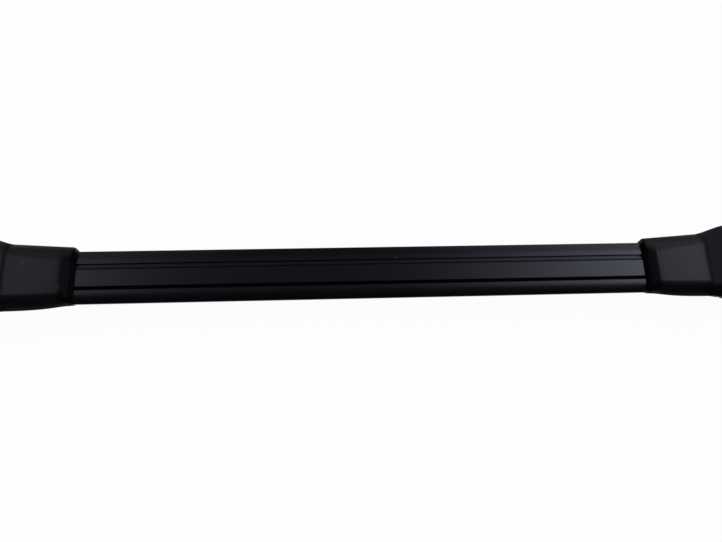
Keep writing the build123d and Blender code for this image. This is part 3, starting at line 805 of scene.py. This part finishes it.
def inset(outline, wall, least):
    """The same corners one wall further in, with the flanks no nearer to the middle than least."""
    moved = dict(outline)
    for key, change in (("panel_z", -wall), ("keel", -wall / 2), ("keel_z", wall)):
        moved[key] = outline[key] + change
    for side in ("rear", "front"):
        moved[f"{side}_panel"] = outline[f"{side}_panel"] - wall / 2
        moved[f"{side}_flank"] = np.maximum(outline[f"{side}_flank"] - wall, least)
    return moved


def bowed(first, last, bow, t):
    """Shallow arch: the chord plus 4 t (1 - t) times the bow, square to the chord."""
    chord = last - first
    side = np.stack([-chord[..., 1], chord[..., 0]], -1)
    side = side * np.where(side[..., :1] < 0, -1.0, 1.0)
    t = t[None, :, None]
    arch = bow[:, None, None] * 4 * t * (1 - t)
    return first[:, None] + chord[:, None] * t + side[:, None] * arch


def corner_curve(start, corner, end, steps):
    """The points between start and end of a rounded corner."""
    t = np.linspace(0, 1, steps)[None, 1:-1, None]
    return parabola(start[:, None], corner[:, None], end[:, None], t)


def half_rings(outline, side, edge):
    """Half rings of y and z on one side, top middle to bottom middle.

    Panel, bowed upper flank, bowed lower flank and underside, with rounded corners between them.
    """
    panel = np.stack([outline[f"{side}_panel"], outline["panel_z"]], -1)
    flank = np.stack([outline[f"{side}_flank"], outline["flank_z"]], -1)
    keel = np.stack([outline["keel"], outline["keel_z"]], -1)
    upper = bowed(panel, flank, outline["bow"], np.linspace(*UPPER_PART, FLANK_STEPS))
    lower = bowed(flank, keel, outline["bow"], np.linspace(*LOWER_PART, FLANK_STEPS))
    flat = np.linspace(0, 1, FLAT_STEPS)[None, :, None]
    middle_top, middle_low = panel * (0, 1), keel * (0, 1)
    top_stop, low_stop = panel - (edge, 0), keel - (edge, 0)
    parts = [
        middle_top[:, None] + (top_stop - middle_top)[:, None] * flat,
        corner_curve(top_stop, panel + (edge * EDGE_PULL, 0), upper[:, 0], CORNER_STEPS),
        upper,
        corner_curve(upper[:, -1], flank + (FLANK_PULL, 0), lower[:, 0], CORNER_STEPS),
        lower,
        corner_curve(lower[:, -1], keel, low_stop, KEEL_STEPS),
        low_stop[:, None] + (middle_low - low_stop)[:, None] * flat,
    ]
    return np.concatenate(parts, 1)


def section_rings(outline, edge):
    """Closed rings of y and z, one per station, rear half first."""
    front = half_rings(outline, "front", edge)[:, 1:-1][:, ::-1] * (-1, 1)
    return np.concatenate([half_rings(outline, "rear", edge), front], 1)


def stack(x, rings):
    """Rings of y and z placed at stations x."""
    along = np.broadcast_to(np.asarray(x)[:, None, None], rings.shape[:2] + (1,))
    return np.concatenate([along, rings], -1)


def path_length(points):
    """Length of the way along a line of points, from 0 at the first."""
    return np.concatenate([[0], np.cumsum(np.linalg.norm(np.diff(points, axis=0), axis=1))])


def lip_ring(bar, x, ring, grow):
    """A ring on the bar's outline, matched to a cover's ring by share of the way round."""
    half = bar_outline(bar, grow)
    way = path_length(half)
    path = path_length(ring[: len(ring) // 2 + 1])
    at = path / path[-1] * way[-1]
    near = np.stack([np.interp(at, way, half[:, k]) for k in (0, 1)], -1)
    ring = np.concatenate([near, near[1:-1][::-1] * (-1, 1)])
    return stack([x], ring[None])


def cover_solid(context):
    """Closed shell of the right foot cover: outer rings to the end, inner rings back, and the lip.

    Near the lip the rings lean forward with their height over the bar's nose.
    """
    feet = context.scene.crossbar_feet
    bar = context.scene.crossbar_bar
    nose = BAR_HIGH.z - bar.shoulder
    lip, soft = COVER_LOW.x, feet.crease
    crease = lip + feet.collar
    rise = crease + feet.panel
    outer_x = np.concatenate(
        [
            lip + LIP_X,
            np.linspace(lip + 2 * LIP_X[-1], crease - soft, 10),
            np.linspace(crease - soft, crease + soft, 9)[1:],
            np.linspace(crease + soft, rise - RISE_BAND, 15)[1:],
            np.linspace(rise - RISE_BAND, rise + RISE_BAND, 13)[1:],
            np.linspace(rise + RISE_BAND, COVER_END, 36)[1:],
        ]
    )
    back = np.linspace(COVER_END, rise, 30), np.linspace(rise, lip + LIP_DEPTH, 16)[1:]
    inner_x = np.concatenate(back)
    outline = cover_outline(outer_x, feet, nose)
    ease = np.exp(-((outer_x - crease) / soft) ** 2)
    outline["panel_z"] = outline["panel_z"] - CREASE_DIP * ease
    outer = section_rings(outline, feet.edge)
    towards = np.array([0.0, nose])
    first = outer[: len(LIP_X)]
    outer[: len(LIP_X)] = towards + (first - towards) * (1 - LIP_DROP)[:, None, None]
    outline = inset(cover_outline(inner_x, feet, nose), feet.wall, BAR_HIGH.y + feet.fit)
    inner = section_rings(outline, feet.edge)
    rows = [
        stack(outer_x, outer),
        stack(inner_x, inner),
        lip_ring(bar, lip + LIP_DEPTH, inner[-1], feet.fit),
        lip_ring(bar, lip, outer[0], feet.fit),
    ]
    grid = np.concatenate(rows)
    part = np.clip((grid[..., 0] - lip) / feet.collar, 0, 1)
    height = np.clip((grid[..., 2] - nose) / (bar.shoulder + LIP_STEP), 0, 1)
    grid[..., 0] -= feet.lead * (1 - part) * height
    return grid.reshape(-1, 3), grid_faces(len(grid), grid.shape[1], True, True).tolist()


def cover_openings():
    """What is cut out of the right cover: room for leg, saddle and rail, and the screw holes."""
    bar_low, bar_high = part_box("bar_screws_right")
    cover_low, cover_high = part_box("cover_screws_right")
    radius, top = BAR_ACCESS
    holes = [
        rod(radius, -CLEAR, top, x, 0.0, "Z")
        for x in (bar_low.x + BAR_SCREW_HEAD, bar_high.x - BAR_SCREW_HEAD)
    ]
    radius, top = COVER_ACCESS
    x = (cover_low.x + cover_high.x) / 2
    y = cover_high.y - COVER_SCREW_HEAD
    holes += [rod(radius, -CLEAR, top, x, place, "Z") for place in (-y, y)]
    saddle = block(LEG_X, FLAP_HIGH.x, SADDLE_HALF, -CLEAR, SADDLE_ROOF)
    rail = block(NOTCH_X, FLAP_HIGH.x, WIDE, -CLEAR, NOTCH_ROOF)
    return [saddle, rail, *holes]


def lug(y):
    """Hinge lug: a tongue from the cover's end wall with a round tip, carried along Y from y."""
    t = np.linspace(-math.pi / 2, math.pi / 2, 25)
    tip = np.stack([HINGE_X + BARREL * np.cos(t), HINGE_Z + BARREL * np.sin(t)], 1)
    root = HINGE_X - LUG_ROOT
    heel = root + LUG_HEEL
    back = [
        (HINGE_X - LUG_NECK[0], HINGE_Z + BARREL * LUG_NECK[1]),
        (heel, HINGE_Z),
        (heel, LUG_ROOF),
        (root, LUG_ROOF),
        (root, HINGE_Z - BARREL),
    ]
    return swept(np.concatenate([tip, back]), [y, y + LUG_WIDTH], "Y")


class CROSSBAR_OT_covers(bpy.types.Operator):
    """Makes the moulded foot covers: bowed sections from the collar to the raised end, hollow"""

    bl_idname = "crossbar.covers"
    bl_label = "Foot covers"

    def execute(self, context):
        colours = context.scene.crossbar_finish
        blank = new_piece("cover_blank", *cover_solid(context))
        outward(blank)
        shell = cut_out(blank, cover_openings())
        whole = joined([shell, lug(-PIN_HIGH.y), lug(PIN_HIGH.y - LUG_WIDTH)])
        for side, sign in SIDES:
            points, faces = whole if sign > 0 else mirrored(*whole)
            cover = new_piece(f"foot_shell_{side}", points, faces)
            name = f"moulded_cover_{side}"
            finish = cover_finish(
                name, colours, COVER_GLOSS[side], RISE_PAINTED_LIGHT[side], COVER_MARKS[side]
            )
            cover.data.materials.append(finish)
            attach(cover, "frame")
            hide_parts(f"foot_cover_{side}")
        return {"FINISHED"}


def flap_rings(feet, nose, wall, end):
    """Rings of the end flap from its rim to the middle of its outer face.

    The rim's outline draws in by edge (1 - cos a) while X advances by edge sin a, then shrinks
    onto the middle of the face.
    """
    edge = feet.flap_edge
    a = np.linspace(0, math.pi / 2, 14)[1:]
    run = np.linspace(FLAP_LOW.x, end - edge, 8)
    x = np.concatenate([run, end - edge + edge * np.sin(a)])
    draw = np.concatenate([0 * run, edge * (1 - np.cos(a))])
    crest = cover_outline(np.array([COVER_END]), feet, nose)
    outline = {key: place - draw for key, place in crest.items()}
    outline["keel"] = FLAP_FOOT - draw / 2
    outline["keel_z"] = FLAP_LOW.z + draw / 2
    outline["bow"] = np.full_like(x, BOWS[1])
    rings = section_rings(inset(outline, wall, 0.0), feet.edge)
    face = FLAP_MIDDLE + (rings[-1] - FLAP_MIDDLE)[None] * FLAP_FACE[:, None, None]
    return np.concatenate([stack(x, rings), stack(np.full_like(FLAP_FACE, end), face)])


def flap_solid(context):
    """Closed shell of the right end flap: outer rings, inner rings back, and both faces closed."""
    feet = context.scene.crossbar_feet
    nose = BAR_HIGH.z - context.scene.crossbar_bar.shoulder
    outer = flap_rings(feet, nose, 0.0, FLAP_HIGH.x)
    inner = flap_rings(feet, nose, feet.flap_wall, FLAP_HIGH.x - feet.flap_wall)[::-1]
    count = outer.shape[1]
    grid = np.concatenate([outer, inner])
    last = len(outer) - 1
    quads = grid_faces(len(grid), count, True, True)
    faces = quads[(quads[:, 0] // count) != last].tolist()
    faces.append([last * count + k for k in range(count)])
    faces.append([(last + 1) * count + k for k in range(count)][::-1])
    return grid.reshape(-1, 3), faces


def flap_openings(wall):
    """What is cut out of the right flap: room for jaw, swing, lugs and barrel."""
    low, jaw = FLAP_LOW.x - CLEAR, JAW_HIGH.y + JAW_PLAY
    radius = BARREL + LUG_PLAY
    near, far = BARREL_HALF, BARREL_HALF + LUG_ROOM
    return [
        block(low, FLAP_HIGH.x - wall, jaw, -CLEAR, FLAP_LOW.z + 2 * wall),
        block(low, HINGE_X, WIDE, HINGE_Z, WIDE),
        rod(radius, near, far, HINGE_X, HINGE_Z, "Y"),
        rod(radius, -far, -near, HINGE_X, HINGE_Z, "Y"),
        rod(BARREL_SEAT, -near, near, HINGE_X, HINGE_Z, "Y"),
    ]


def flap_barrel():
    """The hollow barrel with softened ends, and the two round shoulders beyond the lugs."""
    edge = BARREL - BARREL_SOFT
    stop = BARREL_HALF - BARREL_SOFT
    radii = np.array([PIN_HOLE, edge, BARREL, BARREL, edge, PIN_HOLE])
    along = np.array([-BARREL_HALF, -BARREL_HALF, -stop, stop, BARREL_HALF, BARREL_HALF])
    shoulders = [turned(SHOULDER_RADII, sign * SHOULDER_Y, False) for sign in (1, -1)]
    return [turned(radii, along, True), *shoulders]


class CROSSBAR_OT_flaps(bpy.types.Operator):
    """Makes the hinged end flaps: a dished cap with a rounded outer face, hung on a barrel"""

    bl_idname = "crossbar.flaps"
    bl_label = "End flaps"

    def execute(self, context):
        colours = context.scene.crossbar_finish
        blank = new_piece("flap_blank", *flap_solid(context))
        outward(blank)
        shell = cut_out(blank, flap_openings(context.scene.crossbar_feet.flap_wall))
        whole = joined([shell, *flap_barrel()])
        for side, sign in SIDES:
            points, faces = whole if sign > 0 else mirrored(*whole)
            flap = new_piece(f"flap_shell_{side}", points, faces)
            outward(flap)
            soften(flap.data)
            flap.data.materials.append(cover_finish(f"moulded_flap_{side}", colours, FLAP_GLOSS))
            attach(flap, f"flap_{side}")
            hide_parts(f"end_flap_{side}")
        return {"FINISHED"}


class CROSSBAR_OT_clamps(bpy.types.Operator):
    """Gives the castings, pads and fasteners of both clamps their finishes"""

    bl_idname = "crossbar.clamps"
    bl_label = "Clamps"

    def execute(self, context):
        colours = context.scene.crossbar_finish
        screws = ("bar_screws", "cover_screws", "clamp_nut")
        plated = ("bolt_washer", "bolt_clip", "flap_pin", *screws)
        groups = (
            (zinc_finish("zinc_plate", colours, 0.28, False), plated),
            (casting_finish(colours), ("foot_base", "clamp_jaw")),
            (pad_finish(colours), ("rail_pad", "jaw_pad")),
            (zinc_finish("zinc_thread", colours, 0.26, True), ("clamp_bolt",)),
        )
        for finish, names in groups:
            for node in (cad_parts[f"{name}_{side}"] for name in names for side, _ in SIDES):
                node.data.materials.clear()
                node.data.materials.append(finish)
        return {"FINISHED"}


def room_world(studio):
    """The room as light: a function of the angles from straight up towards X and towards Y.

    Bright to the right, less bright to the left, dim overhead, dimmer to the rear and dark in
    front, each by a smooth step of the angle; the camera sees plain white.
    """
    s = Shader("room", "worlds")
    x, y, z = s.axes("Generated")
    up = z.maths("MAXIMUM", LEAST_HEIGHT)
    sideways, backward = x.maths("ARCTAN2", up), y.maths("ARCTAN2", up)
    right = studio.right_light * s.step(sideways, *RIGHT_FADE)
    left = studio.left_light * s.step(sideways * -1.0, *LEFT_FADE)
    rear = 1.0 - studio.rear_loss * s.step(backward, *REAR_FADE)
    low = 1.0 - studio.low_loss * s.step(backward, *LOW_FADE)
    walls = (studio.room + right + left) * s.step(backward, *FRONT_FADE) * (rear * low)
    light = s.add("ShaderNodeBackground", None, WHITE, walls + studio.front_dark)
    plain = s.add("ShaderNodeBackground", None, WHITE, 1.0)
    seen = s.add("ShaderNodeLightPath", output="Is Camera Ray")
    s.node("ShaderNodeOutputWorld", None, s.add("ShaderNodeMixShader", None, seen, light, plain))
    return s.owner


def floor_finish(studio):
    """Paper that is plain white to the camera and in reflections, and keeps a faint shadow."""
    s = Shader("paper_floor")
    ray = s.node("ShaderNodeLightPath").outputs
    kinds = ("Is Camera Ray", "Is Glossy Ray", "Is Transmission Ray")
    camera, glossy, through = (Wire(s, ray[kind]) for kind in kinds)
    paper = s.add("ShaderNodeBsdfDiffuse", None, PAPER)
    white = s.add("ShaderNodeEmission", None, WHITE, 1.0)
    seen = (camera + glossy + through) * studio.floor_white
    return s.finished(s.add("ShaderNodeMixShader", None, seen, paper, white))


def camera_place(studio):
    """The camera's matrix: at the aim it is turned, raised and rolled, and then drawn back."""
    turn = Matrix.Rotation(studio.azimuth, 4, "Z")
    rise = Matrix.Rotation(math.pi / 2 - studio.elevation, 4, "X")
    roll = Matrix.Rotation(studio.roll, 4, "Z")
    back = Matrix.Translation((0.0, 0.0, studio.distance))
    return Matrix.Translation(studio.aim) @ turn @ rise @ roll @ back


class CROSSBAR_OT_stage(bpy.types.Operator):
    """Sets the floor, the light of the room and the camera"""

    bl_idname = "crossbar.stage"
    bl_label = "Stage"

    def execute(self, context):
        scene = context.scene
        studio = scene.crossbar_studio
        corners = FLOOR_REACH * np.array([(-1, -1, 0), (1, -1, 0), (1, 1, 0), (-1, 1, 0)])
        floor = new_piece("floor", corners, [[0, 1, 2, 3]])
        floor.data.materials.append(floor_finish(studio))
        scene.world = room_world(studio)
        data = bpy.data.cameras.new("photo_view")
        data.sensor_fit = "HORIZONTAL"
        data.lens = studio.lens
        camera = bpy.data.objects.new("photo_view", data)
        scene.collection.objects.link(camera)
        camera.matrix_world = camera_place(studio)
        scene.camera = camera
        scene.view_settings.view_transform = "Standard"
        return {"FINISHED"}


class CROSSBAR_PT_sidebar(bpy.types.Panel):
    """Lists the crossbar's pieces and settings"""

    bl_idname = "CROSSBAR_PT_sidebar"
    bl_label = "Crossbar"
    bl_space_type = "VIEW_3D"
    bl_region_type = "UI"
    bl_category = "Crossbar"

    def draw(self, context):
        for operator in OPERATORS:
            self.layout.operator(operator.bl_idname)
        for group in GROUPS:
            box = self.layout.box()
            values = getattr(context.scene, group)
            for key in values.bl_rna.properties.keys():
                if key not in ("rna_type", "name"):
                    box.prop(values, key)


GROUPS = {
    "crossbar_bar": BarSizes,
    "crossbar_feet": FootSizes,
    "crossbar_finish": FinishColours,
    "crossbar_studio": StudioSettings,
}
OPERATORS = (
    CROSSBAR_OT_bar,
    CROSSBAR_OT_strips,
    CROSSBAR_OT_covers,
    CROSSBAR_OT_flaps,
    CROSSBAR_OT_clamps,
    CROSSBAR_OT_stage,
)
CLASSES = (*GROUPS.values(), *OPERATORS, CROSSBAR_PT_sidebar)


def register():
    for cls in CLASSES:
        bpy.utils.register_class(cls)
    for name, cls in GROUPS.items():
        setattr(bpy.types.Scene, name, PointerProperty(type=cls))


def unregister():
    for name in GROUPS:
        delattr(bpy.types.Scene, name)
    for cls in reversed(CLASSES):
        bpy.utils.unregister_class(cls)


def main():
    register()
    bpy.ops.crossbar.bar()
    bpy.ops.crossbar.strips()
    bpy.ops.crossbar.covers()
    bpy.ops.crossbar.flaps()
    bpy.ops.crossbar.clamps()
    bpy.ops.crossbar.stage()


if __name__ == "__main__":
    main()
